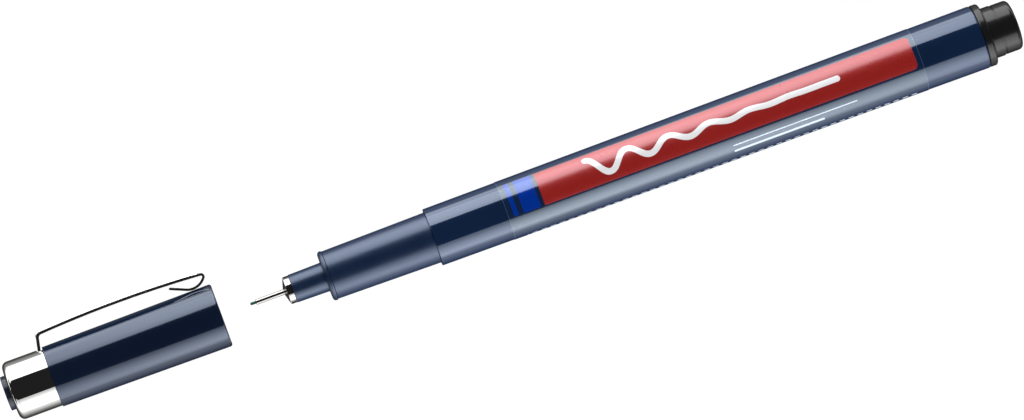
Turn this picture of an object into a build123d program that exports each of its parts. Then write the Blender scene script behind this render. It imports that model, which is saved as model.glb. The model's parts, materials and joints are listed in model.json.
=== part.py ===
"""Fineliner pen lying uncapped, with its cap pulled straight off ahead of the nib.

Frame: the origin is the tip of the nib, on the pen's axis. +X runs along the axis to the rear,
+Y is the side that the cap's clip is on, and +Z is up. Sizes are in millimetres.
Every turned piece is a half profile in the XY plane, x along the axis and y as the radius.
"""
import os
from math import cos, radians, sin, tan

from build123d import *

# Fits that all the pieces share
press_gap = 0.02  # radial gap of a pressed or glued joint
seat_gap = 0.02  # axial gap where one piece stops against another
round_share = 0.9  # most of a wall that the rounding of its edge may take

# Fibre nib in its steel needle
nib_radius = 0.25
nib_round = 0.20  # rounding of the writing point
nib_reach = 1.00  # nib in front of the needle
nib_tail = 1.50  # nib behind the needle, set into the wick
needle_wall = 0.21
needle_reach = 4.92  # needle in front of the steel tip

# Polished steel tip that carries the needle
tip_radius = 2.36
tip_lip = 0.10  # flat left round the needle at the tip's small end
tip_cone_length = 0.50
tip_length = 1.00
tip_edge = 0.15
tip_stem_length = 3.20

# Nib holder: nose, bead and the spigot inside the grip
nose_front_radius = 2.43
nose_rear_radius = 2.52
nose_length = 5.75
nose_wall = 0.66  # round the stem of the steel tip
bead_radius = 4.31
bead_length = 0.83
bead_front_round = 0.55
bead_rear_round = 0.15
holder_spigot_length = 9.50
vent_count = 3
vent_width = 0.80
vent_depth = 0.35

# Ink: wick, fibre reservoir and its wrap
wick_radius = 1.00
wick_reach = 8.00  # wick inside the reservoir
wrap_thickness = 0.10
reservoir_slip = 0.08  # radial room round the wrapped reservoir

# Grip
grip_front_radius = 4.17
grip_rear_radius = 4.40
grip_length = 18.17
grip_wall = 0.67
grip_spigot_length = 8.00

# Barrel
barrel_front_radius = 4.96
barrel_rear_radius = 5.435
barrel_length = 97.20
barrel_front_wall = 0.72
barrel_rear_wall = 0.815
barrel_ledge = 0.14  # step at the inner end of each seat
barrel_edge = 0.30
rib_count = 6
rib_width = 0.60
rib_margin = 1.00  # bore left plain at each end of the ribs

# Clear film with the printing, wrapped round the barrel
film_thickness = 0.04
film_glue = 0.01
film_front_margin = 12.73  # bare barrel in front of the film
film_rear_margin = 11.07  # bare barrel behind it

# End plug
plug_spigot_length = 7.00
plug_tail_length = 10.00  # spacer that holds the reservoir forward
plug_tail_wall = 0.70
plug_floor = 1.40
flange_radius = 5.40
flange_thickness = 1.35
flange_front_round = 0.20
flange_rear_round = 0.40
stub_front_radius = 4.38
stub_front_length = 1.76
stub_rear_radius = 4.30
stub_rear_length = 3.24
stub_round = 0.80
groove_width = 0.28
groove_depth = 0.15

# Cap, measured from its mouth
cap_pulled = 5.04  # how far the mouth lies in front of the nib
cap_slip = 0.10  # radial room between the cap's bore and the pen
cap_wall = 0.96  # at the mouth
cap_taper = 0.24  # loss of radius from the mouth to the closed end
cap_mouth_round = 0.40
cap_lead = 0.30  # lead-in chamfer of the bore
cap_shoulder_wall = 3.50  # thick part of the shell behind the clip's foot
cap_floor = 0.70  # between the liner and the socket of the button's stem
snap_gap = 0.03  # radial room of the snap ridge over the bead
snap_length = 0.80

# Liner that seals the nose inside the cap
liner_gap = 0.20  # axial room to the bead when the cap is on
liner_slip = 0.10  # radial room round the nose
liner_wall = 0.60
liner_flange_length = 1.50
liner_ledge = 0.60  # step in the shell that the liner's flange stops on
liner_floor = 0.90
nib_room = 0.98  # room in front of the nib when the cap is on

# Chrome ferrule on the closed end of the cap
ferrule_step = 0.20  # below the shell's skin
ferrule_wall = 0.30
ferrule_length = 7.34
ferrule_corner = 1.00

# Button set into the ferrule's end
button_radius = 2.95
button_thickness = 0.85
button_round = 0.12
button_stem_radius = 1.20
button_stem_length = 2.00

# Pocket clip, one bent strip of steel with a crowned arm
strip_width = 3.00
strip_thickness = 0.42
strip_edge = 0.04
crown_height = 0.36
crown_slope = 45.0  # of the crown's sides
clip_gap = 0.05  # room between the clip's shoe and the shell
clip_room = 0.10  # room round the clip's foot in its pocket
clip_swing = 0.15  # extra room for the foot as the clip is lifted
shoe_setback = 3.00  # contact point, behind the cap's mouth
shoe_radius = 2.80
toe_angle = 54.0
tail_angle = 23.0
tail_length = 2.85
fold_radius = 0.40
arm_bow = 4.0  # slope of the arched arm at each of its ends
bend_radius = 0.80
leg_lean = 12.0
leg_gap = 0.30  # between the leg and the shell's shoulder
corner_radius = 0.45
foot_depth = 0.35  # middle of the foot below the spigot's surface
foot_length = 1.80

# Stations along the pen, from the nib to the rear
x_needle = nib_reach
x_tip = x_needle + needle_reach
x_tip_body = x_tip + tip_cone_length
x_nose = x_tip_body + tip_length
x_stem_end = x_nose + tip_stem_length
x_bead = x_nose + nose_length
x_grip = x_bead + bead_length
x_holder_end = x_grip + holder_spigot_length
x_barrel = x_grip + grip_length
x_spigot_end = x_barrel + grip_spigot_length
x_barrel_end = x_barrel + barrel_length
x_plug_spigot = x_barrel_end - plug_spigot_length
x_plug_tail = x_plug_spigot - plug_tail_length
x_flange = x_barrel_end + seat_gap
x_stub = x_flange + flange_thickness
x_step = x_stub + stub_front_length
x_end = x_step + stub_rear_length

# Radii that follow from what a piece holds or sits in
needle_bore = nib_radius + press_gap
needle_radius = needle_bore + needle_wall
tip_bore = needle_radius + press_gap
socket_radius = min(nose_front_radius, nose_rear_radius) - nose_wall
tip_stem_radius = socket_radius - press_gap
wick_bore = wick_radius + press_gap
grip_seat_radius = barrel_front_radius - barrel_front_wall
grip_spigot_radius = grip_seat_radius - press_gap
grip_bore = min(grip_front_radius, grip_rear_radius, grip_spigot_radius) - grip_wall
holder_spigot_radius = grip_bore - press_gap
wrap_radius = grip_bore - reservoir_slip
wrap_bore = wrap_radius - wrap_thickness
core_radius = wrap_bore - press_gap
plug_seat_radius = barrel_rear_radius - barrel_rear_wall
plug_spigot_radius = plug_seat_radius - press_gap
barrel_bore = min(grip_seat_radius, plug_seat_radius) - barrel_ledge
plug_cavity_radius = core_radius - plug_tail_wall
cap_bore = max(grip_front_radius, grip_rear_radius, bead_radius) + cap_slip
cap_mouth_radius = cap_bore + cap_wall
cap_end_radius = cap_mouth_radius - cap_taper
snap_radius = max(bead_radius, grip_front_radius) + snap_gap
liner_bore = max(nose_front_radius, nose_rear_radius, tip_radius) + liner_slip
liner_radius = liner_bore + liner_wall
liner_seat = liner_radius + press_gap
cap_annulus_radius = cap_bore - liner_ledge
ferrule_radius = cap_end_radius - ferrule_step
ferrule_bore = ferrule_radius - ferrule_wall
cap_spigot_radius = ferrule_bore - press_gap
foot_radius = cap_spigot_radius - foot_depth

# Stations along the cap at rest, from its mouth towards its closed end
x_mouth = -cap_pulled
x_liner = x_mouth - (x_barrel - x_bead) - liner_gap
x_snap = x_mouth - (x_barrel - x_grip) + snap_length
x_ledge = x_liner - liner_flange_length
x_chamber_end = x_mouth - x_barrel - nib_room
x_liner_end = x_chamber_end - liner_floor
x_stem_socket = x_liner_end - seat_gap - cap_floor
x_shell_end = x_stem_socket - button_stem_length
x_ferrule_end = x_shell_end - seat_gap - ferrule_wall
x_shoulder = x_ferrule_end + ferrule_length
x_annulus_end = x_shoulder + cap_shoulder_wall


def barrel_radius(x):
    """Outer radius of the tapered barrel at station x."""
    share = (x - x_barrel) / barrel_length
    return barrel_front_radius + share * (barrel_rear_radius - barrel_front_radius)


def shell_radius(x):
    """Outer radius of the tapered cap shell at station x."""
    share = (x - x_shoulder) / (x_mouth - x_shoulder)
    return cap_end_radius + share * (cap_mouth_radius - cap_end_radius)


# Fibre nib
with BuildPart() as fibre_nib:
    x_nib_end = x_stem_end + nib_tail
    with BuildSketch(Plane.XY):
        with BuildLine():
            Polyline((0, 0), (0, nib_radius), (x_nib_end, nib_radius), (x_nib_end, 0), close=True)
        make_face()
    revolve(axis=Axis.X)
    point_edge = fibre_nib.edges().filter_by(GeomType.CIRCLE).sort_by(Axis.X)[0]
    fillet(point_edge, min(nib_round, nib_radius * round_share))

# Needle, a steel tube pressed into the tip
with BuildPart() as needle:
    with BuildSketch(Plane.XY):
        with BuildLine():
            Polyline(
                (x_needle, needle_bore),
                (x_needle, needle_radius),
                (x_stem_end, needle_radius),
                (x_stem_end, needle_bore),
                close=True,
            )
        make_face()
    revolve(axis=Axis.X)

# Steel tip: shallow cone, short polished rim and a stem inside the nose
with BuildPart() as steel_tip:
    with BuildSketch(Plane.XY):
        with BuildLine():
            Polyline(
                (x_tip, tip_bore),
                (x_tip, tip_bore + tip_lip),
                (x_tip_body, tip_radius),
                (x_nose - seat_gap, tip_radius),
                (x_nose - seat_gap, tip_stem_radius),
                (x_stem_end, tip_stem_radius),
                (x_stem_end, tip_bore),
                close=True,
            )
        make_face()
    revolve(axis=Axis.X)
    rim_edges = steel_tip.edges().filter_by(GeomType.CIRCLE).group_by(SortBy.RADIUS)[-1]
    fillet(rim_edges.sort_by(Axis.X)[0], min(tip_edge, tip_cone_length * round_share))

# Nib holder: the nose, the bead that the cap snaps over and a vented spigot
with BuildPart() as nib_holder:
    x_socket = x_stem_end + seat_gap
    x_bead_rear = x_grip - seat_gap
    with BuildSketch(Plane.XY):
        with BuildLine():
            Polyline(
                (x_nose, socket_radius),
                (x_nose, nose_front_radius),
                (x_bead, nose_rear_radius),
                (x_bead, bead_radius),
                (x_bead_rear, bead_radius),
                (x_bead_rear, holder_spigot_radius),
                (x_holder_end, holder_spigot_radius),
                (x_holder_end, wick_bore),
                (x_socket, wick_bore),
                (x_socket, socket_radius),
                close=True,
            )
        make_face()
    revolve(axis=Axis.X)
    bead_share = min(1.0, (bead_length - seat_gap) * round_share / (bead_front_round + bead_rear_round))
    for end, bead_round in ((0, bead_front_round), (-1, bead_rear_round)):
        bead_edges = nib_holder.edges().filter_by(GeomType.CIRCLE).group_by(SortBy.RADIUS)[-1]
        fillet(bead_edges.sort_by(Axis.X)[end], bead_round * bead_share)
    vent_floor = holder_spigot_radius - vent_depth
    vent_length = x_holder_end - x_grip
    for vent in range(vent_count):
        with BuildSketch(Plane.YZ.offset(x_grip).rotated((0, 0, vent * 360 / vent_count))):
            with Locations((vent_floor, 0)):
                Rectangle(vent_depth * 2, vent_width, align=(Align.MIN, Align.CENTER))
        extrude(amount=vent_length, mode=Mode.SUBTRACT)

# Wick that feeds the nib from the reservoir
with BuildPart() as wick:
    x_wick = x_socket
    x_wick_end = x_holder_end + seat_gap + wick_reach
    x_nib_seat = x_nib_end + seat_gap
    with BuildSketch(Plane.XY):
        with BuildLine():
            Polyline(
                (x_wick, needle_bore),
                (x_wick, wick_radius),
                (x_wick_end, wick_radius),
                (x_wick_end, 0),
                (x_nib_seat, 0),
                (x_nib_seat, needle_bore),
                close=True,
            )
        make_face()
    revolve(axis=Axis.X)

# Ink reservoir, a rod of bonded fibre with a pocket for the wick
x_reservoir = x_holder_end + seat_gap
x_reservoir_end = x_plug_tail - seat_gap
with BuildPart() as ink_reservoir:
    x_pocket = x_wick_end + seat_gap
    with BuildSketch(Plane.XY):
        with BuildLine():
            Polyline(
                (x_reservoir, wick_bore),
                (x_reservoir, core_radius),
                (x_reservoir_end, core_radius),
                (x_reservoir_end, 0),
                (x_pocket, 0),
                (x_pocket, wick_bore),
                close=True,
            )
        make_face()
    revolve(axis=Axis.X)

# Plastic wrap round the reservoir
with BuildPart() as reservoir_wrap:
    with BuildSketch(Plane.XY):
        with BuildLine():
            Polyline(
                (x_reservoir, wrap_bore),
                (x_reservoir, wrap_radius),
                (x_reservoir_end, wrap_radius),
                (x_reservoir_end, wrap_bore),
                close=True,
            )
        make_face()
    revolve(axis=Axis.X)

# Grip, a tapered sleeve with a spigot inside the barrel
with BuildPart() as grip:
    x_grip_rear = x_barrel - seat_gap
    with BuildSketch(Plane.XY):
        with BuildLine():
            Polyline(
                (x_grip, grip_bore),
                (x_grip, grip_front_radius),
                (x_grip_rear, grip_rear_radius),
                (x_grip_rear, grip_spigot_radius),
                (x_spigot_end, grip_spigot_radius),
                (x_spigot_end, grip_bore),
                close=True,
            )
        make_face()
    revolve(axis=Axis.X)

# Barrel, a tapered tube with seats at both ends and ribs that centre the reservoir
with BuildPart() as barrel:
    x_grip_seat = x_spigot_end + seat_gap
    x_plug_seat = x_plug_spigot - seat_gap
    with BuildSketch(Plane.XY):
        with BuildLine():
            Polyline(
                (x_barrel, grip_seat_radius),
                (x_barrel, barrel_front_radius),
                (x_barrel_end, barrel_rear_radius),
                (x_barrel_end, plug_seat_radius),
                (x_plug_seat, plug_seat_radius),
                (x_plug_seat, barrel_bore),
                (x_grip_seat, barrel_bore),
                (x_grip_seat, grip_seat_radius),
                close=True,
            )
        make_face()
    revolve(axis=Axis.X)
    rear_rim = barrel.edges().group_by(Axis.X)[-1].sort_by(SortBy.RADIUS)[-1]
    fillet(rear_rim, min(barrel_edge, barrel_rear_wall * round_share))
    rib_root = barrel_bore + barrel_ledge / 2
    for rib in range(rib_count):
        with BuildSketch(Plane.XY.rotated((rib * 360 / rib_count, 0, 0))):
            with BuildLine():
                Polyline(
                    (x_grip_seat + rib_margin, grip_bore),
                    (x_grip_seat + rib_margin, rib_root),
                    (x_plug_seat - rib_margin, rib_root),
                    (x_plug_seat - rib_margin, grip_bore),
                    close=True,
                )
            make_face()
        extrude(amount=rib_width / 2, both=True)

# Printed film round the barrel
with BuildPart() as label_film:
    x_film = x_barrel + film_front_margin
    x_film_end = x_barrel_end - film_rear_margin
    film_bore_front = barrel_radius(x_film) + film_glue
    film_bore_rear = barrel_radius(x_film_end) + film_glue
    with BuildSketch(Plane.XY):
        with BuildLine():
            Polyline(
                (x_film, film_bore_front),
                (x_film, film_bore_front + film_thickness),
                (x_film_end, film_bore_rear + film_thickness),
                (x_film_end, film_bore_rear),
                close=True,
            )
        make_face()
    revolve(axis=Axis.X)

# End plug: spacer tail, spigot, flange and the stepped stub that the cap is posted on
with BuildPart() as end_plug:
    groove_radius = min(stub_front_radius, stub_rear_radius) - groove_depth
    x_cavity = x_end - plug_floor
    with BuildSketch(Plane.XY):
        with BuildLine():
            Polyline(
                (x_plug_tail, plug_cavity_radius),
                (x_plug_tail, core_radius),
                (x_plug_spigot, core_radius),
                (x_plug_spigot, plug_spigot_radius),
                (x_flange, plug_spigot_radius),
                (x_flange, flange_radius),
                (x_stub, flange_radius),
                (x_stub, stub_front_radius),
                (x_step, stub_front_radius),
                (x_step, groove_radius),
                (x_step + groove_width, groove_radius),
                (x_step + groove_width, stub_rear_radius),
                (x_end, stub_rear_radius),
                (x_end, 0),
                (x_cavity, 0),
                (x_cavity, plug_cavity_radius),
                close=True,
            )
        make_face()
    revolve(axis=Axis.X)
    plug_rims = end_plug.edges().filter_by(GeomType.CIRCLE)
    flange_rims = plug_rims.group_by(SortBy.RADIUS)[-1].sort_by(Axis.X)
    flange_share = min(1.0, flange_thickness * round_share / (flange_front_round + flange_rear_round))
    fillet(flange_rims[-1], flange_rear_round * flange_share)
    front_rim = end_plug.edges().filter_by(GeomType.CIRCLE).group_by(SortBy.RADIUS)[-1].sort_by(Axis.X)[0]
    fillet(front_rim, flange_front_round * flange_share)
    end_rim = end_plug.edges().filter_by(GeomType.CIRCLE).sort_by(Axis.X)[-1]
    fillet(end_rim, min(stub_round, (stub_rear_length - groove_width) * round_share))

# Layout of the clip: the strip's middle line runs from its tail, over the shoe, round the fold,
# along the arched arm, round the bend and down the leg to the foot inside the shell
half_strip = strip_thickness / 2
toe, tail, bow, lean = (radians(a) for a in (toe_angle, tail_angle, arm_bow, leg_lean))
x_contact = x_mouth - shoe_setback
shoe_centre = Vector(x_contact, shell_radius(x_contact) + clip_gap + half_strip + shoe_radius)
heel_point = shoe_centre + Vector(-sin(tail), -cos(tail)) * shoe_radius
tail_point = heel_point + Vector(-cos(tail), sin(tail)) * tail_length
fold_centre = shoe_centre + Vector(sin(toe), -cos(toe)) * (shoe_radius - fold_radius)
arm_tip = fold_centre + Vector(sin(bow), cos(bow)) * fold_radius
leg_point = Vector(x_shoulder - leg_gap - half_strip, cap_end_radius)
leg_rise = (arm_tip.Y - leg_point.Y + bend_radius * (sin(lean) - cos(bow))) / cos(lean)
x_arm = leg_point.X + leg_rise * sin(lean) + bend_radius * (cos(lean) - sin(bow))
arm_radius = (arm_tip.X - x_arm) / (2 * sin(bow))
y_corner = foot_radius + corner_radius * (1 + sin(lean))
corner_point = Vector(leg_point.X + (y_corner - leg_point.Y) * tan(lean), y_corner)
hinge_point = corner_point + Vector(cos(lean), -sin(lean)) * corner_radius

# Pocket for the clip's foot in the shell's shoulder, open to the ferrule's notch
pocket_width = strip_width + 2 * clip_room
pocket_floor = foot_radius - half_strip - clip_room
pocket_top = foot_radius + half_strip + clip_room + clip_swing
x_pocket_front = hinge_point.X + foot_length + clip_room
x_pocket_rear = hinge_point.X - corner_radius - half_strip - clip_room - clip_swing

# Cap shell: tapered skin, bore with a snap ridge, seat for the liner and spigot for the ferrule
with BuildPart() as cap_shell:
    socket_bore = button_stem_radius + press_gap
    x_floor = x_liner_end - seat_gap
    with BuildSketch(Plane.XY):
        with BuildLine():
            Polyline(
                (x_mouth, cap_bore + cap_lead),
                (x_mouth, cap_mouth_radius),
                (x_shoulder, cap_end_radius),
                (x_shoulder, cap_spigot_radius),
                (x_shell_end, cap_spigot_radius),
                (x_shell_end, socket_bore),
                (x_stem_socket, socket_bore),
                (x_stem_socket, 0),
                (x_floor, 0),
                (x_floor, liner_seat),
                (x_annulus_end, liner_seat),
                (x_annulus_end, cap_annulus_radius),
                (x_ledge - seat_gap, cap_annulus_radius),
                (x_ledge - seat_gap, cap_bore),
                (x_snap - snap_length, cap_bore),
                (x_snap - snap_length / 2, snap_radius),
                (x_snap, cap_bore),
                (x_mouth - cap_lead, cap_bore),
                close=True,
            )
        make_face()
    revolve(axis=Axis.X)
    mouth_rim = cap_shell.edges().group_by(Axis.X)[-1].sort_by(SortBy.RADIUS)[-1]
    fillet(mouth_rim, min(cap_mouth_round, (cap_wall - cap_lead) * round_share))
    spigot_rim = cap_shell.edges().group_by(Axis.X)[0].sort_by(SortBy.RADIUS)[-1]
    fillet(spigot_rim, ferrule_corner)
    with BuildSketch(Plane.XY):
        with BuildLine():
            Polyline(
                (x_pocket_rear, pocket_floor),
                (x_pocket_front, pocket_floor),
                (x_pocket_front, pocket_top),
                (x_shoulder, pocket_top),
                (x_shoulder, ferrule_radius),
                (x_pocket_rear, ferrule_radius),
                close=True,
            )
        make_face()
    extrude(amount=pocket_width / 2, both=True, mode=Mode.SUBTRACT)

# Liner: a soft cup that closes over the nose
with BuildPart() as cap_liner:
    with BuildSketch(Plane.XY):
        with BuildLine():
            Polyline(
                (x_liner, liner_bore),
                (x_liner, cap_bore - press_gap),
                (x_ledge, cap_bore - press_gap),
                (x_ledge, liner_radius),
                (x_liner_end, liner_radius),
                (x_liner_end, 0),
                (x_chamber_end, 0),
                (x_chamber_end, liner_bore),
                close=True,
            )
        make_face()
    revolve(axis=Axis.X)

# Chrome ferrule, a drawn cup pressed over the shell's spigot
with BuildPart() as cap_ferrule:
    x_ferrule_rim = x_shoulder - seat_gap
    with BuildSketch(Plane.YZ.offset(x_ferrule_end)):
        Circle(ferrule_radius)
    extrude(amount=x_ferrule_rim - x_ferrule_end)
    fillet(cap_ferrule.edges().sort_by(Axis.X)[0], ferrule_corner)
    offset(amount=-ferrule_wall, openings=cap_ferrule.faces().sort_by(Axis.X)[-1])
    with BuildSketch(Plane.YZ.offset(x_ferrule_end)):
        Circle(button_stem_radius + press_gap)
    extrude(amount=ferrule_wall, mode=Mode.SUBTRACT)
    with BuildSketch(Plane.XY):
        with BuildLine():
            Polyline(
                (x_pocket_rear, 0),
                (x_shoulder, 0),
                (x_shoulder, ferrule_radius + ferrule_wall),
                (x_pocket_rear, ferrule_radius + ferrule_wall),
                close=True,
            )
        make_face()
    extrude(amount=pocket_width / 2, both=True, mode=Mode.SUBTRACT)

# Button in the ferrule's end, on a stem pressed into the shell
with BuildPart() as cap_button:
    x_button = x_ferrule_end - seat_gap
    x_button_end = x_button - button_thickness
    x_stem = x_stem_socket - seat_gap
    with BuildSketch(Plane.XY):
        with BuildLine():
            Polyline(
                (x_button_end, 0),
                (x_button_end, button_radius),
                (x_button, button_radius),
                (x_button, button_stem_radius),
                (x_stem, button_stem_radius),
                (x_stem, 0),
                close=True,
            )
        make_face()
    revolve(axis=Axis.X)
    button_rim = cap_button.edges().filter_by(GeomType.CIRCLE).sort_by(Axis.X)[0]
    fillet(button_rim, min(button_round, button_thickness * round_share))

# Clip, swept along the strip's middle line, with the crown added on the arm and the bend
with BuildPart() as clip:
    with BuildLine() as strip_line:
        tail_run = Line(tail_point, heel_point)
        shoe = JernArc(tail_run @ 1, tail_run % 1, shoe_radius, tail_angle + toe_angle)
        fold = JernArc(shoe @ 1, shoe % 1, fold_radius, 180 - toe_angle - arm_bow)
        arm = JernArc(fold @ 1, fold % 1, arm_radius, 2 * arm_bow)
        bend = JernArc(arm @ 1, arm % 1, bend_radius, 90 - leg_lean - arm_bow)
        leg = Line(bend @ 1, corner_point)
        corner = JernArc(leg @ 1, leg % 1, corner_radius, 90 + leg_lean)
        foot = Line(corner @ 1, (corner @ 1) + Vector(foot_length, 0))
    with BuildSketch(Plane(tail_run @ 0, x_dir=(0, 0, 1), z_dir=tail_run % 0)):
        RectangleRounded(strip_width, strip_thickness, strip_edge)
    sweep(path=strip_line.wires()[0])
    with BuildLine() as crown_line:
        add(arm)
        add(bend)
    with BuildSketch(Plane(arm @ 0, x_dir=(0, 0, 1), z_dir=arm % 0)):
        half_crown = strip_width / 2 - strip_edge
        half_top = half_crown - crown_height / tan(radians(crown_slope))
        with BuildLine():
            Polyline(
                (-half_crown, 0),
                (-half_crown, half_strip),
                (-half_top, half_strip + crown_height),
                (half_top, half_strip + crown_height),
                (half_crown, half_strip),
                (half_crown, 0),
                close=True,
            )
        make_face()
    sweep(path=crown_line.wires()[0])

pieces = {
    "fibre_nib": fibre_nib,
    "needle": needle,
    "steel_tip": steel_tip,
    "nib_holder": nib_holder,
    "wick": wick,
    "ink_reservoir": ink_reservoir,
    "reservoir_wrap": reservoir_wrap,
    "grip": grip,
    "barrel": barrel,
    "label_film": label_film,
    "end_plug": end_plug,
    "cap_shell": cap_shell,
    "cap_liner": cap_liner,
    "cap_ferrule": cap_ferrule,
    "cap_button": cap_button,
    "clip": clip,
}
os.makedirs("parts", exist_ok=True)
for name, piece in pieces.items():
    piece.part.label = name
    export_step(piece.part, f"parts/{name}.step")

print(f"cap travel {x_barrel - x_mouth:.3f} mm")
print(f"clip hinge at x {hinge_point.X:.4f} y {hinge_point.Y:.4f} mm")
print(f"cap from x {x_button_end:.3f} to {x_mouth:.3f} mm, pen to {x_end:.3f} mm")
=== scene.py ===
import json
from math import cos, pi, radians, sin

import bpy
import numpy as np
from mathutils import Matrix, Vector


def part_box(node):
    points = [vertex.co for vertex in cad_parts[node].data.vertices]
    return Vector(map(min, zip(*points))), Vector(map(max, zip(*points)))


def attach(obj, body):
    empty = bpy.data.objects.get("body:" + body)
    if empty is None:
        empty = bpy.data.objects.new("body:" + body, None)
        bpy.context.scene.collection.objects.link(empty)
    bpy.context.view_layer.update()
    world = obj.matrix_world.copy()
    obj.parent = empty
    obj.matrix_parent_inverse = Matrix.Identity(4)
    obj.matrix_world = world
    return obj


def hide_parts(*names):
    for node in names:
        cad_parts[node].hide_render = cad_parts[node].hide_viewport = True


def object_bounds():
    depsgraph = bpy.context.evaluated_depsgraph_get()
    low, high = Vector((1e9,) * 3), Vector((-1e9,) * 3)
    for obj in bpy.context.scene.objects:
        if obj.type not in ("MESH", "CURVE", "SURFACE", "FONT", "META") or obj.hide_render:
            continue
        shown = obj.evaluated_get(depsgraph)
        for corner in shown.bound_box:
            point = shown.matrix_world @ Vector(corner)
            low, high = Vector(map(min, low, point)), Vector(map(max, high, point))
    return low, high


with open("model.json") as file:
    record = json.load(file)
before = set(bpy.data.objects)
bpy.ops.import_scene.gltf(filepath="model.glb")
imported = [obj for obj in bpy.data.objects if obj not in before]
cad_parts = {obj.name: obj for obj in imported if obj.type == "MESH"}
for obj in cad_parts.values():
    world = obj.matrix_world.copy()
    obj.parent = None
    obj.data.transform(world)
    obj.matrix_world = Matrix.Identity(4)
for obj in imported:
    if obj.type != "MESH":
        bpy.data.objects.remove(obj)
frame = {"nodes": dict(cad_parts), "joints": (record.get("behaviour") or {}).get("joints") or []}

cad_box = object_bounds()

# Fibre nib: a thin rod of bonded fibre, ground round at its writing point and soaked in ink.
# It is pushed through the steel needle from behind, and only its last millimetre shows.
MM = 0.001
SHARP_ANGLE = radians(32)
NIB_ROUND = 0.20
NIB_SIDES = 64
INK_TEAL = (6, 76, 58)
INK_DARK = (2, 22, 20)


def extent(node):
    """Front station, rear station and largest radius of a turned CAD node, in millimetres."""
    low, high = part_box(node)
    return low.x / MM, high.x / MM, high.z / MM


def outline(corners, steps=8, lead=0.05, most=0.25):
    """Line through corners (x, radius, rounding) in millimetres, as rows of (x, radius).

    A rounded corner becomes an arc that touches both of its runs, rounding / tan(half the corner's
    angle) away from it. Each run gets a point near either end, lead millimetres from it but no further
    than the share most of the run, so that an arc's shading doesn't spread along it. A line that starts
    on the axis is left open, and any other closes.
    """
    corners = np.array(corners, float)
    places, roundings = corners[:, :2], corners[:, 2]
    share = np.linspace(0, 1, steps + 1)[:, None]
    bends = []
    for place, before, after, rounding in zip(
        places, np.roll(places, 1, 0), np.roll(places, -1, 0), roundings
    ):
        if rounding == 0:
            bends.append(place[None])
            continue
        back = (before - place) / np.linalg.norm(before - place)
        onward = (after - place) / np.linalg.norm(after - place)
        half = np.arccos(back @ onward) / 2
        middle = (back + onward) / np.linalg.norm(back + onward)
        centre = place + middle * rounding / np.sin(half)
        first = place + back * rounding / np.tan(half) - centre
        last = place + onward * rounding / np.tan(half) - centre
        turn = pi - 2 * half
        arc = np.sin((1 - share) * turn) * first + np.sin(share * turn) * last
        bends.append(centre + arc / np.sin(turn))
    line = []
    for bend, after in zip(bends, bends[1:] + bends[:1]):
        run = after[0] - bend[-1]
        near = min(lead / np.linalg.norm(run), most)
        line += [bend, bend[-1:] + run * near, bend[-1:] + run * (1 - near)]
    if places[0, 1] == 0:
        line = line[:-2]
    return np.concatenate(line)


def turned(corners, sides=160):
    """Points and faces of an outline turned about X: (x, r sin a, r cos a) over a full round of a.

    The outline goes up the front, back along the skin and home along the bore, so that the faces
    point outwards. One that starts and ends on the axis is closed there by two fans.
    """
    line = outline(corners)
    angle = np.linspace(0, 2 * pi, sides, endpoint=False)
    round_it = np.stack([np.ones(sides), np.sin(angle), np.cos(angle)], axis=1)
    grid = line[:, [0, 1, 1]][:, None] * round_it
    ring = np.arange(len(line) * sides).reshape(-1, sides)
    if line[0, 1] == 0:
        points = np.concatenate([grid[0, :1], grid[1:-1].reshape(-1, 3), grid[-1, :1]])
        ring = ring[: len(line) - 2] + 1
        first, last = np.zeros(sides, int), np.full(sides, len(points) - 1)
        beside = np.roll(ring, -1, axis=1)
        front = np.stack([first, ring[0], beside[0]], axis=1)
        rear = np.stack([ring[-1], last, beside[-1]], axis=1)
        faces = np.concatenate([front, rear]).tolist()
    else:
        points = grid.reshape(-1, 3)
        ring = np.concatenate([ring, ring[:1]])
        beside = np.roll(ring, -1, axis=1)
        faces = []
    quads = np.stack([ring[:-1], ring[1:], beside[1:], beside[:-1]], axis=-1)
    return points, faces + quads.reshape(-1, 4).tolist()


def dress(node, finish):
    """Gives a CAD node this finish in its own material slots."""
    for held in frame["nodes"][node].material_slots:
        held.material = finish


def fit(name, shape, finish, body, node):
    """Makes a piece from points in millimetres and faces, in place of a CAD node, and rides it on a body."""
    points, faces = shape
    mesh = bpy.data.meshes.new(name)
    mesh.from_pydata((points * MM).tolist(), [], faces)
    mesh.shade_smooth()
    mesh.set_sharp_from_angle(angle=SHARP_ANGLE)
    mesh.materials.append(finish)
    piece = bpy.data.objects.new(name, mesh)
    bpy.context.scene.collection.objects.link(piece)
    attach(piece, body)
    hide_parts(node)
    dress(node, finish)
    return piece


def tone(red, green, blue):
    """Linear colour of an 8-bit sRGB tone: ((c + 0.055) / 1.055) ** 2.4, or c / 12.92 near black."""
    c = np.array([red, green, blue]) / 255
    return (*np.where(c > 0.04045, ((c + 0.055) / 1.055) ** 2.4, c / 12.92).tolist(), 1.0)


def set_inputs(tree, node, inputs):
    """Sets inputs of a node to values, or links them from sockets."""
    for key, value in inputs.items():
        if isinstance(value, bpy.types.NodeSocket):
            tree.links.new(value, node.inputs[key])
        else:
            node.inputs[key].default_value = value


def add(tree, kind, inputs=None, **settings):
    """Adds a shader node with these settings and inputs."""
    node = tree.nodes.new("ShaderNode" + kind)
    for key, value in settings.items():
        setattr(node, key, value)
    set_inputs(tree, node, inputs or {})
    return node


def wire(tree, shader, **inputs):
    """Sets or links inputs of a shader, given by their names with _ for each space."""
    set_inputs(tree, shader, {key.replace("_", " "): value for key, value in inputs.items()})


def material(name, **constants):
    """A node material, its tree and its Principled shader with these constant inputs set."""
    made = bpy.data.materials.new(name)
    made.use_nodes = True
    shader = made.node_tree.nodes["Principled BSDF"]
    wire(made.node_tree, shader, **constants)
    return made, made.node_tree, shader


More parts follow.
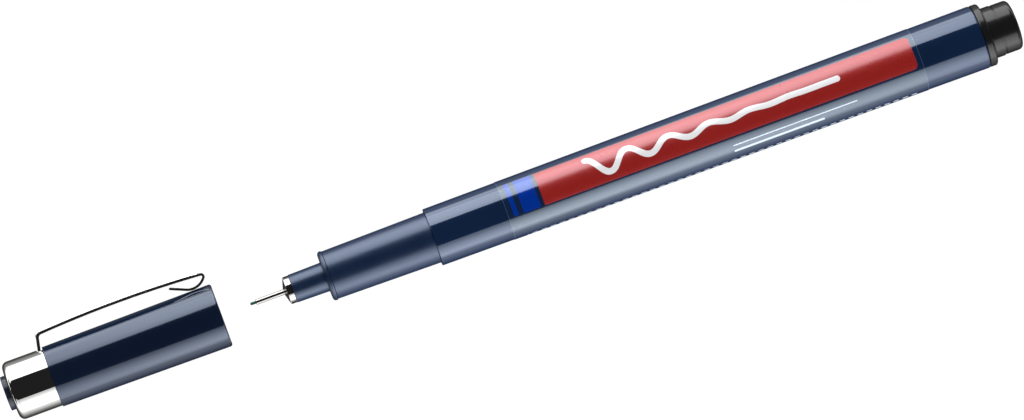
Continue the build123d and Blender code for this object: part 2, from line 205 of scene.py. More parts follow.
def here(tree):
    """Socket of the place on a piece, in metres."""
    return add(tree, "TexCoord").outputs["Object"]


def noise(tree, place, scale, detail, distortion=0.0):
    """Socket of a soft noise over a place, with scale waves a metre."""
    inputs = {"Vector": place, "Scale": scale, "Detail": detail, "Distortion": distortion}
    return add(tree, "TexNoise", inputs).outputs[0]


def relief(tree, height, depth, distance):
    """Socket of the normal that a height gives, at this depth from 0 to 1 and distance in metres."""
    return add(tree, "Bump", {"Strength": depth, "Distance": distance, "Height": height}).outputs[0]


def ramp(tree, value, low, high, start=0.0, end=1.0):
    """Socket that goes evenly from low to high while value goes from start to end."""
    ends = {"From Min": start, "From Max": end, "To Min": low, "To Max": high}
    return add(tree, "MapRange", {"Value": value, **ends}).outputs[0]


def blend(tree, share, low, high):
    """Socket of a colour that goes from low to high with share."""
    return add(tree, "Mix", {0: share, 6: low, 7: high}, data_type="RGBA").outputs[2]


def group(name, inputs, outputs):
    """An empty node group, with its tree and its inner ends. Sockets are (name, kind) pairs."""
    tree = bpy.data.node_groups.new(name, "ShaderNodeTree")
    for way, sockets in (("INPUT", inputs), ("OUTPUT", outputs)):
        for label, kind in sockets:
            tree.interface.new_socket(label, in_out=way, socket_type="NodeSocket" + kind)
    return tree, tree.nodes.new("NodeGroupInput").outputs, tree.nodes.new("NodeGroupOutput").inputs


def use(tree, made, **inputs):
    """Outputs of a node group that is placed in a tree, with its own values or links."""
    return add(tree, "Group", inputs, node_tree=made).outputs


def line_marks(name, squeeze, detail, distance):
    """Node group of fine lines: noise on a space squeezed along some of its axes, and the relief of it."""
    tree, given, given_out = group(
        name, [("Fineness", "Float"), ("Depth", "Float")], [("Mark", "Float"), ("Normal", "Vector")]
    )
    squeezed = add(tree, "Mapping", {"Vector": here(tree), "Scale": squeeze}).outputs[0]
    mark = noise(tree, squeezed, given["Fineness"], detail)
    tree.links.new(mark, given_out["Mark"])
    tree.links.new(relief(tree, mark, given["Depth"], distance), given_out["Normal"])
    return tree


def lined(name, marks, fineness, depth, low, high, polish=None, **constants):
    """A material with fine lines, which take its colour from low to high and its roughness over polish."""
    made, tree, shader = material(name, **constants)
    lines = use(tree, marks, Fineness=fineness, Depth=depth)
    wire(tree, shader, Base_Color=blend(tree, lines["Mark"], low, high), Normal=lines["Normal"])
    if polish:
        wire(tree, shader, Roughness=ramp(tree, lines["Mark"], *polish))
    return made


# Streaks that run along the pen, for fibre and drawn stock
streaks = line_marks("streaks", squeeze=(0.04, 1.0, 1.0), detail=3.0, distance=2e-5)
inked_fibre = lined(
    "inked fibre",
    streaks,
    fineness=16000.0,
    depth=0.5,
    low=tone(*INK_DARK),
    high=tone(*INK_TEAL),
    Roughness=0.55,
)

nib_front, nib_rear, nib_radius = extent("fibre_nib")
nib_corners = [
    (nib_front, 0, 0),
    (nib_front, nib_radius, NIB_ROUND),
    (nib_rear, nib_radius, 0),
    (nib_rear, 0, 0),
]
fit("nib_point", turned(nib_corners, NIB_SIDES), inked_fibre, "pen", "fibre_nib")

# Needle: a drawn stainless tube that holds the fibre nib, with its front edge broken.
# It is pressed into the steel tip.
NEEDLE_WALL = 0.21
NEEDLE_EDGE = 0.06
NEEDLE_SIDES = 96
NEEDLE_STEEL = (0.36, 0.355, 0.345, 1.0)
NEEDLE_WORN = (0.29, 0.285, 0.275, 1.0)
NEEDLE_POLISH = 0.02, 0.07

drawn_steel = lined(
    "drawn steel",
    streaks,
    fineness=9000.0,
    depth=0.02,
    low=NEEDLE_WORN,
    high=NEEDLE_STEEL,
    polish=NEEDLE_POLISH,
    Metallic=1.0,
)

needle_front, needle_rear, needle_radius = extent("needle")
needle_bore = needle_radius - NEEDLE_WALL
needle_corners = [
    (needle_front, needle_bore, 0),
    (needle_front, needle_radius, NEEDLE_EDGE),
    (needle_rear, needle_radius, 0),
    (needle_rear, needle_bore, 0),
]
fit("needle_tube", turned(needle_corners, NEEDLE_SIDES), drawn_steel, "pen", "needle")

# Steel tip: a turned stainless piece with a shallow cone round the needle and a short polished rim.
# Its stem is pressed into the nose of the nib holder.
PRESS_GAP = 0.02
SEAT_GAP = 0.02
TIP_LIP = 0.10
TIP_CONE = 0.50
TIP_EDGE = 0.15
TIP_REAR_EDGE = 0.04
TIP_STEM_RADIUS = 1.75
STEEL = (0.52, 0.51, 0.49, 1.0)
STEEL_WORN = (0.42, 0.41, 0.39, 1.0)
STEEL_POLISH = 0.05, 0.13

# Turning marks: fine rings round the pen's axis
turning = line_marks("turning marks", squeeze=(1.0, 0.03, 0.03), detail=4.0, distance=1e-5)
polished_steel = lined(
    "polished steel",
    turning,
    fineness=9000.0,
    depth=0.04,
    low=STEEL_WORN,
    high=STEEL,
    polish=STEEL_POLISH,
    Metallic=1.0,
)

nose_front, holder_rear, bead_radius = extent("nib_holder")
tip_front, tip_rear, tip_radius = extent("steel_tip")
tip_bore = needle_radius + PRESS_GAP
tip_corners = [
    (tip_front, tip_bore, 0),
    (tip_front, tip_bore + TIP_LIP, 0),
    (tip_front + TIP_CONE, tip_radius, TIP_EDGE),
    (nose_front - SEAT_GAP, tip_radius, TIP_REAR_EDGE),
    (nose_front - SEAT_GAP, TIP_STEM_RADIUS, 0),
    (tip_rear, TIP_STEM_RADIUS, 0),
    (tip_rear, tip_bore, 0),
]
fit("tip_cone", turned(tip_corners), polished_steel, "pen", "steel_tip")

# Nib holder: moulded in navy plastic, with a nose that holds the steel tip and a bead for the cap's snap.
# Its spigot is pressed into the grip.
NOSE_FRONT_RADIUS = 2.43
NOSE_REAR_RADIUS = 2.52
NOSE_LENGTH = 5.75
NOSE_EDGE = 0.06
NOSE_ROOT = 0.10
BEAD_FRONT_ROUND = 0.55
BEAD_REAR_ROUND = 0.15
SPIGOT_RADIUS = 3.48
WICK_BORE = 1.02
NAVY_SATIN = (12, 30, 56)
NAVY_GLEAM = (0.70, 0.81, 1.0, 1.0)
PATCH_SCALE = 260.0
DRIFT_SCALE = 45.0
DRIFT_ENDS = 0.86, 1.14


def math(tree, operation, *values):
    """Socket of a Math node's result."""
    return add(tree, "Math", dict(enumerate(values)), operation=operation).outputs[0]


# Moulded skin: a fine even grain in the surface, patches that shine a little more or less, and a slight
# drift of the tone, as a plastic part has it straight from the mould
moulded, given, given_out = group(
    "moulded skin",
    [("Tone", "Color"), ("Grain", "Float"), ("Depth", "Float"), ("Gloss", "Float"), ("Spread", "Float")],
    [("Color", "Color"), ("Roughness", "Float"), ("Normal", "Vector")],
)
place = here(moulded)
grain = noise(moulded, place, given["Grain"], detail=2.0)
patches = math(moulded, "SUBTRACT", noise(moulded, place, PATCH_SCALE, detail=5.0), 0.5)
shine = math(moulded, "MULTIPLY_ADD", patches, given["Spread"], given["Gloss"])
drift = ramp(moulded, noise(moulded, place, DRIFT_SCALE, detail=3.0), *DRIFT_ENDS)
tinted = add(
    moulded, "Mix", {0: 1.0, 6: given["Tone"], 7: drift}, data_type="RGBA", blend_type="MULTIPLY"
).outputs[2]
moulded.links.new(tinted, given_out["Color"])
moulded.links.new(shine, given_out["Roughness"])
moulded.links.new(relief(moulded, grain, given["Depth"], distance=1e-5), given_out["Normal"])


def plastic(name, colour, grain, depth, gloss, spread, **constants):
    """A moulded plastic: its tone, grain per metre, grain depth, roughness and the spread of that."""
    made, tree, shader = material(name, **constants)
    skin = use(tree, moulded, Tone=tone(*colour), Grain=grain, Depth=depth, Gloss=gloss, Spread=spread)
    wire(tree, shader, Base_Color=skin["Color"], Roughness=skin["Roughness"], Normal=skin["Normal"])
    return made


navy_satin = plastic(
    "navy satin plastic",
    NAVY_SATIN,
    grain=9000.0,
    depth=0.10,
    gloss=0.32,
    spread=0.10,
    Specular_IOR_Level=1.0,
    Specular_Tint=NAVY_GLEAM,
)

grip_front, grip_spigot_rear, _ = extent("grip")
bead_front = nose_front + NOSE_LENGTH
bead_rear = grip_front - SEAT_GAP
socket_radius = TIP_STEM_RADIUS + PRESS_GAP
socket_rear = tip_rear + SEAT_GAP
holder_corners = [
    (nose_front, socket_radius, 0),
    (nose_front, NOSE_FRONT_RADIUS, NOSE_EDGE),
    (bead_front, NOSE_REAR_RADIUS, NOSE_ROOT),
    (bead_front, bead_radius, BEAD_FRONT_ROUND),
    (bead_rear, bead_radius, BEAD_REAR_ROUND),
    (bead_rear, SPIGOT_RADIUS, 0),
    (holder_rear, SPIGOT_RADIUS, 0),
    (holder_rear, WICK_BORE, 0),
    (socket_rear, WICK_BORE, 0),
    (socket_rear, socket_radius, 0),
]
fit("nose_and_bead", turned(holder_corners), navy_satin, "pen", "nib_holder")

# Wick and reservoir: rods of bonded fibre, the wick set into the front of the reservoir.
# They lie out of sight inside the pen, so their solids keep their shape.
FIBRE_PALE = (214, 208, 196)
FIBRE_STAINED = (70, 110, 104)

reservoir_fibre = lined(
    "reservoir fibre",
    streaks,
    fineness=2500.0,
    depth=0.8,
    low=tone(*FIBRE_STAINED),
    high=tone(*FIBRE_PALE),
    Roughness=0.9,
)
dress("wick", inked_fibre)
dress("ink_reservoir", reservoir_fibre)

# Reservoir wrap: a sleeve of thin polypropylene film, heat sealed round the fibre rod.
# It keeps the ink off the barrel's bore. It is out of sight too, so its solid keeps its shape.
WRAP_TONE = (205, 212, 214)

wrap_film = plastic("wrap film", WRAP_TONE, grain=1500.0, depth=0.3, gloss=0.22, spread=0.15)
dress("reservoir_wrap", wrap_film)

# Grip: a slim tapered sleeve, moulded in navy plastic with a satin skin.
# It is pressed over the nib holder, and its own spigot into the barrel.
GRIP_FRONT_RADIUS = 4.17
GRIP_REAR_RADIUS = 4.40
GRIP_EDGE = 0.05
GRIP_BORE = 3.50
GRIP_SPIGOT_RADIUS = 4.22

barrel_front, barrel_rear, _ = extent("barrel")
grip_rear = barrel_front - SEAT_GAP
grip_corners = [
    (grip_front, GRIP_BORE, 0),
    (grip_front, GRIP_FRONT_RADIUS, GRIP_EDGE),
    (grip_rear, GRIP_REAR_RADIUS, GRIP_EDGE),
    (grip_rear, GRIP_SPIGOT_RADIUS, 0),
    (grip_spigot_rear, GRIP_SPIGOT_RADIUS, 0),
    (grip_spigot_rear, GRIP_BORE, 0),
]
fit("grip_sleeve", turned(grip_corners), navy_satin, "pen", "grip")

# Barrel: a long tapered tube, moulded in glossy navy plastic.
# The grip's spigot is pressed into a seat in its front, and the end plug into one in its rear.
BARREL_FRONT_RADIUS = 4.96
BARREL_REAR_RADIUS = 5.435
BARREL_FRONT_EDGE = 0.08
BARREL_REAR_EDGE = 0.30
BARREL_BORE = 4.10
PLUG_SEAT_RADIUS = 4.62
PLUG_SEAT_LENGTH = 7.02
NAVY_GLOSS = (15, 33, 61)
GLOSS_IOR = 1.525

navy_gloss = plastic(
    "navy gloss plastic",
    NAVY_GLOSS,
    grain=1200.0,
    depth=0.03,
    gloss=0.08,
    spread=0.05,
    IOR=GLOSS_IOR,
    Specular_IOR_Level=1.0,
    Specular_Tint=NAVY_GLEAM,
)

grip_seat_radius = GRIP_SPIGOT_RADIUS + PRESS_GAP
grip_seat_rear = grip_spigot_rear + SEAT_GAP
plug_seat_front = barrel_rear - PLUG_SEAT_LENGTH
barrel_corners = [
    (barrel_front, grip_seat_radius, 0),
    (barrel_front, BARREL_FRONT_RADIUS, BARREL_FRONT_EDGE),
    (barrel_rear, BARREL_REAR_RADIUS, BARREL_REAR_EDGE),
    (barrel_rear, PLUG_SEAT_RADIUS, 0),
    (plug_seat_front, PLUG_SEAT_RADIUS, 0),
    (plug_seat_front, BARREL_BORE, 0),
    (grip_seat_rear, BARREL_BORE, 0),
    (grip_seat_rear, grip_seat_radius, 0),
]
fit("barrel_tube", turned(barrel_corners), navy_gloss, "pen", "barrel")

# Label film: clear film glued round the barrel, printed on its inside with a red band, blue stripes
# and sample lines of a pen. A thin pale line is painted along its cut ends, as a painted highlight for the
# light that the ends catch.
FILM_GLUE = 0.01
FILM_THICKNESS = 0.04
FILM_NAVY = (15, 33, 63)
# Tone and width of the painted highlight along the film's cut ends
FILM_EDGE_HIGHLIGHT = (52, 70, 92)
FILM_EDGE_HIGHLIGHT_WIDTH = 0.10
FILM_GLEAM = (0.80, 0.92, 1.0, 1.0)
FILM_IOR = 1.565
PRINT_RED = (151, 30, 26)
PRINT_BLUE = (0, 49, 150)
PRINT_WHITE = (238, 238, 240)
PRINT_PALE = (172, 184, 196)
BAND_FRONT = 51.3
BAND_REAR = 117.4
BAND_WIDTH = 6.2
BAND_FRONT_CORNER = 0.20
BAND_REAR_CORNER = 0.85
BAND_SIDE = 1.66
BAND_DULL = 0.16
INK_METAL = 0.10
STRIPES = (45.9, 46.7), (47.6, 50.6)
WAVE_FRONT = 60.0
WAVE_REAR = 104.0
WAVE_RISE = 1.8
WAVE_PITCH = 7.2
WAVE_WIDTH = 1.05
SAMPLE_FRONT = 84.0
SAMPLES = (106.0, -3.1, 0.22), (100.0, -4.3, 0.45)
DASHES_FRONT = 47.2
DASHES_REAR = 116.6
DASHES_SIDE = -7.1
DASH_WIDTH = 0.45
DASH_PITCH = 1.6
DASH_LENGTH = 0.95
PRINT_SOFT = 0.03

film_front, film_rear, _ = extent("label_film")


def barrel_radius(x):
    """Radius of the barrel's skin at station x: it grows evenly from front to rear."""
    share = (x - barrel_front) / (barrel_rear - barrel_front)
    return BARREL_FRONT_RADIUS + share * (BARREL_REAR_RADIUS - BARREL_FRONT_RADIUS)


def below(tree, value, limit):
    """Mask that is 1 where value lies under limit, with a soft edge of PRINT_SOFT."""
    return ramp(tree, value, 1.0, 0.0, limit - PRINT_SOFT, limit + PRINT_SOFT)


# Printed patch: distance to a box with rounded corners. With q = |p - centre| - half size + corner, it is
# length(max(q, 0)) + min(max(qx, qy), 0) - corner
patch, given, given_out = group(
    "printed patch",
    [(name, "Float") for name in ("Along", "Across", "Middle", "Side", "Length", "Width", "Corner")],
    [("Mask", "Float")],
)
over = []
for place, middle, size in (("Along", "Middle", "Length"), ("Across", "Side", "Width")):
    far = math(patch, "ABSOLUTE", math(patch, "SUBTRACT", given[place], given[middle]))
    inner = math(patch, "SUBTRACT", math(patch, "MULTIPLY", given[size], 0.5), given["Corner"])
    over.append(math(patch, "SUBTRACT", far, inner))
outer = [math(patch, "POWER", math(patch, "MAXIMUM", q, 0.0), 2.0) for q in over]
reach = math(patch, "SQRT", math(patch, "ADD", *outer))
depth = math(patch, "MINIMUM", math(patch, "MAXIMUM", *over), 0.0)
distance = math(patch, "SUBTRACT", math(patch, "ADD", reach, depth), given["Corner"])
patch.links.new(below(patch, distance, 0.0), given_out["Mask"])

printed_film, tree, shader = material(
    "printed film", IOR=FILM_IOR, Specular_IOR_Level=1.0, Specular_Tint=FILM_GLEAM
)
skin = use(tree, moulded, Tone=tone(*FILM_NAVY), Grain=700.0, Depth=0.03, Gloss=0.12, Spread=0.05)
spot = add(tree, "SeparateXYZ", {0: here(tree)}).outputs
along = math(tree, "DIVIDE", spot[0], MM)
flat = add(tree, "CombineXYZ", {1: spot[1], 2: spot[2]}).outputs[0]
radius = math(tree, "DIVIDE", add(tree, "VectorMath", {0: flat}, operation="LENGTH").outputs["Value"], MM)
across = math(tree, "MULTIPLY", math(tree, "ARCTAN2", spot[1], spot[2]), radius)


def printed(front, rear, side, width, corner):
    """Mask of a printed patch from front to rear, round a line at this side."""
    box = {"Middle": (front + rear) / 2, "Side": side, "Length": rear - front, "Width": width}
    return use(tree, patch, Along=along, Across=across, Corner=corner, **box)["Mask"]


# The wave dies out along the band: side = rise * (1 - share)^2 * cos(2 pi x / pitch). Its stroke is measured
# square to it, by dividing through sqrt(1 + slope^2), and a dot rounds off either end
run = math(tree, "SUBTRACT", along, WAVE_FRONT)
left = math(tree, "SUBTRACT", 1.0, math(tree, "DIVIDE", run, WAVE_REAR - WAVE_FRONT))
rise = math(tree, "MULTIPLY", math(tree, "POWER", math(tree, "MAXIMUM", left, 0.0), 2.0), WAVE_RISE)
turn = math(tree, "MULTIPLY", run, 2 * pi / WAVE_PITCH)
height = math(tree, "MULTIPLY", rise, math(tree, "COSINE", turn))
slope = math(tree, "MULTIPLY", math(tree, "MULTIPLY", rise, math(tree, "SINE", turn)), 2 * pi / WAVE_PITCH)
tilt = math(tree, "SQRT", math(tree, "ADD", math(tree, "POWER", slope, 2.0), 1.0))
off_line = math(tree, "SUBTRACT", math(tree, "SUBTRACT", across, BAND_SIDE), height)
stroke = below(tree, math(tree, "DIVIDE", math(tree, "ABSOLUTE", off_line), tilt), WAVE_WIDTH / 2)
wave = math(tree, "MULTIPLY", stroke, printed(WAVE_FRONT, WAVE_REAR, BAND_SIDE, BAND_WIDTH, 0.0))
for end, side in ((WAVE_FRONT, BAND_SIDE + WAVE_RISE), (WAVE_REAR, BAND_SIDE)):
    dot = printed(end - WAVE_WIDTH / 2, end + WAVE_WIDTH / 2, side, WAVE_WIDTH, WAVE_WIDTH / 2)
    wave = math(tree, "MAXIMUM", wave, dot)

# Sample lines: a long thin stroke, and a shorter one that is wider
samples = 0.0
for rear, side, width in SAMPLES:
    line = printed(SAMPLE_FRONT, rear, side, width, width / 2)
    samples = math(tree, "MAXIMUM", samples, line)

# Dashes: a fine broken line along the film's lower side, cut by the remainder along it
dashes = math(
    tree,
    "MULTIPLY",
    printed(DASHES_FRONT, DASHES_REAR, DASHES_SIDE, DASH_WIDTH, 0.0),
    below(tree, math(tree, "FLOORED_MODULO", along, DASH_PITCH), DASH_LENGTH),
)

# Painted highlight: a pale line along both cut ends of the film, standing in for the light they catch
to_front = math(tree, "SUBTRACT", along, film_front)
to_rear = math(tree, "SUBTRACT", film_rear, along)
edge_highlight = below(tree, math(tree, "MINIMUM", to_front, to_rear), FILM_EDGE_HIGHLIGHT_WIDTH)
colour = blend(tree, edge_highlight, skin["Color"], tone(*FILM_EDGE_HIGHLIGHT))
band_middle = (BAND_FRONT + BAND_REAR) / 2
band = math(
    tree,
    "MAXIMUM",
    printed(BAND_FRONT, band_middle, BAND_SIDE, BAND_WIDTH, BAND_FRONT_CORNER),
    printed(band_middle - BAND_WIDTH, BAND_REAR, BAND_SIDE, BAND_WIDTH, BAND_REAR_CORNER),
)
stripes = 0.0
for front, rear in STRIPES:
    stripe = printed(front, rear, BAND_SIDE, BAND_WIDTH, BAND_FRONT_CORNER)
    stripes = math(tree, "MAXIMUM", stripes, stripe)
for mask, ink in (
    (band, PRINT_RED),
    (stripes, PRINT_BLUE),
    (wave, PRINT_WHITE),
    (samples, PRINT_PALE),
    (dashes, PRINT_PALE),
):
    colour = blend(tree, mask, colour, tone(*ink))
dull = math(tree, "MULTIPLY_ADD", band, BAND_DULL, skin["Roughness"])
inked = math(tree, "SUBTRACT", math(tree, "MAXIMUM", band, stripes), wave)
wire(
    tree,
    shader,
    Base_Color=colour,
    Metallic=math(tree, "MULTIPLY", inked, INK_METAL),
    Roughness=dull,
    Normal=skin["Normal"],
)

film_corners = [
    (film_front, barrel_radius(film_front) + FILM_GLUE, 0),
    (film_front, barrel_radius(film_front) + FILM_GLUE + FILM_THICKNESS, 0),
    (film_rear, barrel_radius(film_rear) + FILM_GLUE + FILM_THICKNESS, 0),
    (film_rear, barrel_radius(film_rear) + FILM_GLUE, 0),
]
fit("label_wrap", turned(film_corners), printed_film, "pen", "label_film")

# End plug: moulded in black plastic, with a flange against the barrel and a stepped stub for the cap.
# It is pressed into the barrel, and its hollow tail holds the reservoir forward.
PLUG_TAIL_RADIUS = 3.30
PLUG_CAVITY_RADIUS = 2.60
PLUG_FLOOR = 1.40
PLUG_SPIGOT_LENGTH = 7.00
FLANGE_THICKNESS = 1.35
FLANGE_FRONT_EDGE = 0.20
FLANGE_ROUND = 0.40
STUB_FRONT_RADIUS = 4.38
STUB_FRONT_LENGTH = 1.76
STUB_REAR_RADIUS = 4.30
STUB_EDGE = 0.05
STUB_ROUND = 0.80
GROOVE_WIDTH = 0.28
GROOVE_DEPTH = 0.15
BLACK_SATIN = (21, 22, 21)

black_satin = plastic(
    "black satin plastic",
    BLACK_SATIN,
    grain=7000.0,
    depth=0.08,
    gloss=0.20,
    spread=0.08,
    Specular_IOR_Level=0.50,
)

plug_front, plug_rear, flange_radius = extent("end_plug")
plug_spigot_radius = PLUG_SEAT_RADIUS - PRESS_GAP
plug_spigot_front = barrel_rear - PLUG_SPIGOT_LENGTH
flange_front = barrel_rear + SEAT_GAP
stub_front = flange_front + FLANGE_THICKNESS
groove_front = stub_front + STUB_FRONT_LENGTH
groove_rear = groove_front + GROOVE_WIDTH
groove_radius = STUB_REAR_RADIUS - GROOVE_DEPTH
cavity_rear = plug_rear - PLUG_FLOOR
plug_corners = [
    (cavity_rear, 0, 0),
    (cavity_rear, PLUG_CAVITY_RADIUS, 0),
    (plug_front, PLUG_CAVITY_RADIUS, 0),
    (plug_front, PLUG_TAIL_RADIUS, 0),
    (plug_spigot_front, PLUG_TAIL_RADIUS, 0),
    (plug_spigot_front, plug_spigot_radius, 0),
    (flange_front, plug_spigot_radius, 0),
    (flange_front, flange_radius, FLANGE_FRONT_EDGE),
    (stub_front, flange_radius, FLANGE_ROUND),
    (stub_front, STUB_FRONT_RADIUS, 0),
    (groove_front, STUB_FRONT_RADIUS, STUB_EDGE),
    (groove_front, groove_radius, 0),
    (groove_rear, groove_radius, 0),
    (groove_rear, STUB_REAR_RADIUS, STUB_EDGE),
    (plug_rear, STUB_REAR_RADIUS, STUB_ROUND),
    (plug_rear, 0, 0),
]
fit("plug_and_stub", turned(plug_corners), black_satin, "pen", "end_plug")

# Cap shell: moulded in the barrel's glossy navy plastic, with a snap ridge in its bore for the bead.
# Its closed end is stepped down for the ferrule, with a pocket for the clip's foot.
CAP_NAVY = (12, 24, 44)
CAP_MOUTH_RADIUS = 5.46
CAP_MOUTH_ROUND = 0.40
CAP_END_RADIUS = 5.22
CAP_END_EDGE = 0.06
CAP_BORE = 4.50
CAP_LEAD = 0.30
CAP_SPIGOT_RADIUS = 4.70
CAP_SPIGOT_CORNER = 1.00
CAP_FLOOR = 0.70
SNAP_REACH = 17.37
SNAP_LENGTH = 0.80
SNAP_RADIUS = 4.34
LINER_LEDGE_RADIUS = 3.90
SHOULDER_WALL = 3.50
BUTTON_STEM_RADIUS = 1.20
POCKET_WIDTH = 3.20
POCKET_FLOOR = 4.04
POCKET_TOP = 4.81
POCKET_ROOM_FRONT = 0.10
POCKET_ROOM_REAR = 0.91
FOOT_LENGTH = 1.80
LINER_RADIUS = 3.22
LINER_FLANGE = 1.50

shell_rear, cap_mouth, _ = extent("cap_shell")
liner_rear, liner_front, liner_flange_radius = extent("cap_liner")
ferrule_rear, ferrule_front, ferrule_radius = extent("cap_ferrule")
cap_shoulder = ferrule_front + SEAT_GAP
hinge = np.array(next(j for j in frame["joints"] if j["name"] == "clip_flex")["pos_m"]) / MM
pocket_front = hinge[0] + FOOT_LENGTH + POCKET_ROOM_FRONT
pocket_rear = hinge[0] - POCKET_ROOM_REAR
liner_ledge = liner_front - LINER_FLANGE
liner_seat_radius = LINER_RADIUS + PRESS_GAP
snap_front = cap_mouth - SNAP_REACH
stem_bore = BUTTON_STEM_RADIUS + PRESS_GAP
socket_floor = liner_rear - SEAT_GAP - CAP_FLOOR


def cut_pocket(piece, section):
    """Cuts a prism out of a piece, by an exact Boolean that is applied.

    Its section is a ring of (x, y) corners in millimetres, and it reaches half the pocket's width to
    either side of the middle plane.
    """
    count = len(section)
    half = np.full((count, 1), POCKET_WIDTH / 2)
    points = np.concatenate([np.hstack([section, -half]), np.hstack([section, half])])
    ring = np.arange(count)
    beside = np.roll(ring, -1)
    faces = np.stack([ring, beside, beside + count, ring + count], axis=1).tolist()
    mesh = bpy.data.meshes.new("pocket")
    mesh.from_pydata((points * MM).tolist(), [], faces + [ring[::-1].tolist(), (ring + count).tolist()])
    prism = bpy.data.objects.new("pocket", mesh)
    bpy.context.scene.collection.objects.link(prism)
    cut = piece.modifiers.new("pocket", "BOOLEAN")
    cut.operation, cut.solver, cut.object = "DIFFERENCE", "EXACT", prism
    held = piece.evaluated_get(bpy.context.evaluated_depsgraph_get())
    piece.data = bpy.data.meshes.new_from_object(held)
    piece.modifiers.clear()
    piece.data.set_sharp_from_angle(angle=SHARP_ANGLE)
    bpy.data.objects.remove(prism)


cap_gloss = plastic(
    "navy cap plastic",
    CAP_NAVY,
    grain=1200.0,
    depth=0.03,
    gloss=0.11,
    spread=0.05,
    IOR=GLOSS_IOR,
    Specular_IOR_Level=0.95,
    Specular_Tint=NAVY_GLEAM,
)

shell_corners = [
    (socket_floor, 0, 0),
    (socket_floor, stem_bore, 0),
    (shell_rear, stem_bore, 0),
    (shell_rear, CAP_SPIGOT_RADIUS, CAP_SPIGOT_CORNER),
    (cap_shoulder, CAP_SPIGOT_RADIUS, 0),
    (cap_shoulder, CAP_END_RADIUS, CAP_END_EDGE),
    (cap_mouth, CAP_MOUTH_RADIUS, CAP_MOUTH_ROUND),
    (cap_mouth, CAP_BORE + CAP_LEAD, 0),
    (cap_mouth - CAP_LEAD, CAP_BORE, 0),
    (snap_front, CAP_BORE, 0),
    (snap_front - SNAP_LENGTH / 2, SNAP_RADIUS, 0),
    (snap_front - SNAP_LENGTH, CAP_BORE, 0),
    (liner_ledge - SEAT_GAP, CAP_BORE, 0),
    (liner_ledge - SEAT_GAP, LINER_LEDGE_RADIUS, 0),
    (cap_shoulder + SHOULDER_WALL, LINER_LEDGE_RADIUS, 0),
    (cap_shoulder + SHOULDER_WALL, liner_seat_radius, 0),
    (liner_rear - SEAT_GAP, liner_seat_radius, 0),
    (liner_rear - SEAT_GAP, 0, 0),
]
shell = fit("shell_of_cap", turned(shell_corners), cap_gloss, "cap", "cap_shell")
shell_pocket = [
    (pocket_rear, POCKET_FLOOR),
    (pocket_front, POCKET_FLOOR),
    (pocket_front, POCKET_TOP),
    (cap_shoulder, POCKET_TOP),
    (cap_shoulder, ferrule_radius),
    (pocket_rear, ferrule_radius),
]
cut_pocket(shell, shell_pocket)

# Liner: a soft cup of pale polyethylene, pushed into the cap from its mouth.
# It closes round the nose, so that the nib doesn't dry.
LINER_BORE = 2.62
LINER_CHAMBER = 13.95
LINER_EDGE = 0.15
LINER_TONE = (196, 198, 196)

liner_plastic = plastic("liner plastic", LINER_TONE, grain=2500.0, depth=0.15, gloss=0.45, spread=0.15)

liner_corners = [
    (liner_rear, 0, 0),
    (liner_rear, LINER_RADIUS, 0),
    (liner_ledge, LINER_RADIUS, 0),
    (liner_ledge, liner_flange_radius, 0),
    (liner_front, liner_flange_radius, LINER_EDGE),
    (liner_front, LINER_BORE, LINER_EDGE),
    (liner_front - LINER_CHAMBER, LINER_BORE, 0),
    (liner_front - LINER_CHAMBER, 0, 0),
]
fit("liner_cup", turned(liner_corners), liner_plastic, "cap", "cap_liner")

# Ferrule: a cup drawn from thin brass, polished and chrome plated, pressed over the end of the shell.
# A notch in its rim lets the clip's leg through.
FERRULE_WALL = 0.30
FERRULE_CORNER = 1.00
FERRULE_EDGE = 0.04
FERRULE_SIDES = 320
CHROME = (0.64, 0.64, 0.63, 1.0)
CHROME_WORN = (0.56, 0.56, 0.55, 1.0)
SMEAR_SCALE = 320.0
SMEAR_ENDS = 0.5, 0.8

# Handling marks: faint smears that dull a polished face here and there
handled, given, given_out = group(
    "handling marks",
    [("Clean", "Float"), ("Smeared", "Float")],
    [("Smear", "Float"), ("Roughness", "Float")],
)
smears = noise(handled, here(handled), SMEAR_SCALE, detail=6.0, distortion=0.6)
smear = ramp(handled, smears, 0.0, 1.0, *SMEAR_ENDS)
handled.links.new(smear, given_out["Smear"])
handled.links.new(ramp(handled, smear, given["Clean"], given["Smeared"]), given_out["Roughness"])

chrome_plate, tree, shader = material("chrome plate", Metallic=1.0)
marks = use(tree, handled, Clean=0.03, Smeared=0.09)
wire(
    tree,
    shader,
    Base_Color=blend(tree, marks["Smear"], CHROME, CHROME_WORN),
    Roughness=marks["Roughness"],
)

ferrule_bore = ferrule_radius - FERRULE_WALL
ferrule_corners = [
    (ferrule_rear, stem_bore, 0),
    (ferrule_rear, ferrule_radius, FERRULE_CORNER),
    (ferrule_front, ferrule_radius, FERRULE_EDGE),
    (ferrule_front, ferrule_bore, 0),
    (ferrule_rear + FERRULE_WALL, ferrule_bore, FERRULE_CORNER - FERRULE_WALL),
    (ferrule_rear + FERRULE_WALL, stem_bore, 0),
]
ferrule_cup = turned(ferrule_corners, FERRULE_SIDES)
ferrule = fit("ferrule_cup", ferrule_cup, chrome_plate, "cap", "cap_ferrule")
notch = [
    (pocket_rear, 0),
    (cap_shoulder, 0),
    (cap_shoulder, ferrule_radius + FERRULE_WALL),
    (pocket_rear, ferrule_radius + FERRULE_WALL),
]
cut_pocket(ferrule, notch)

# Button: a small disc in the ferrule's end, moulded in dark blue plastic.
# Its stem is pressed through the ferrule into the shell, and holds the ferrule on.
BUTTON_THICKNESS = 0.85
BUTTON_ROUND = 0.12
BUTTON_EDGE = 0.04
BUTTON_SIDES = 128
BUTTON_TONE = (25, 33, 46)

button_plastic = plastic("button plastic", BUTTON_TONE, grain=5000.0, depth=0.05, gloss=0.2, spread=0.1)

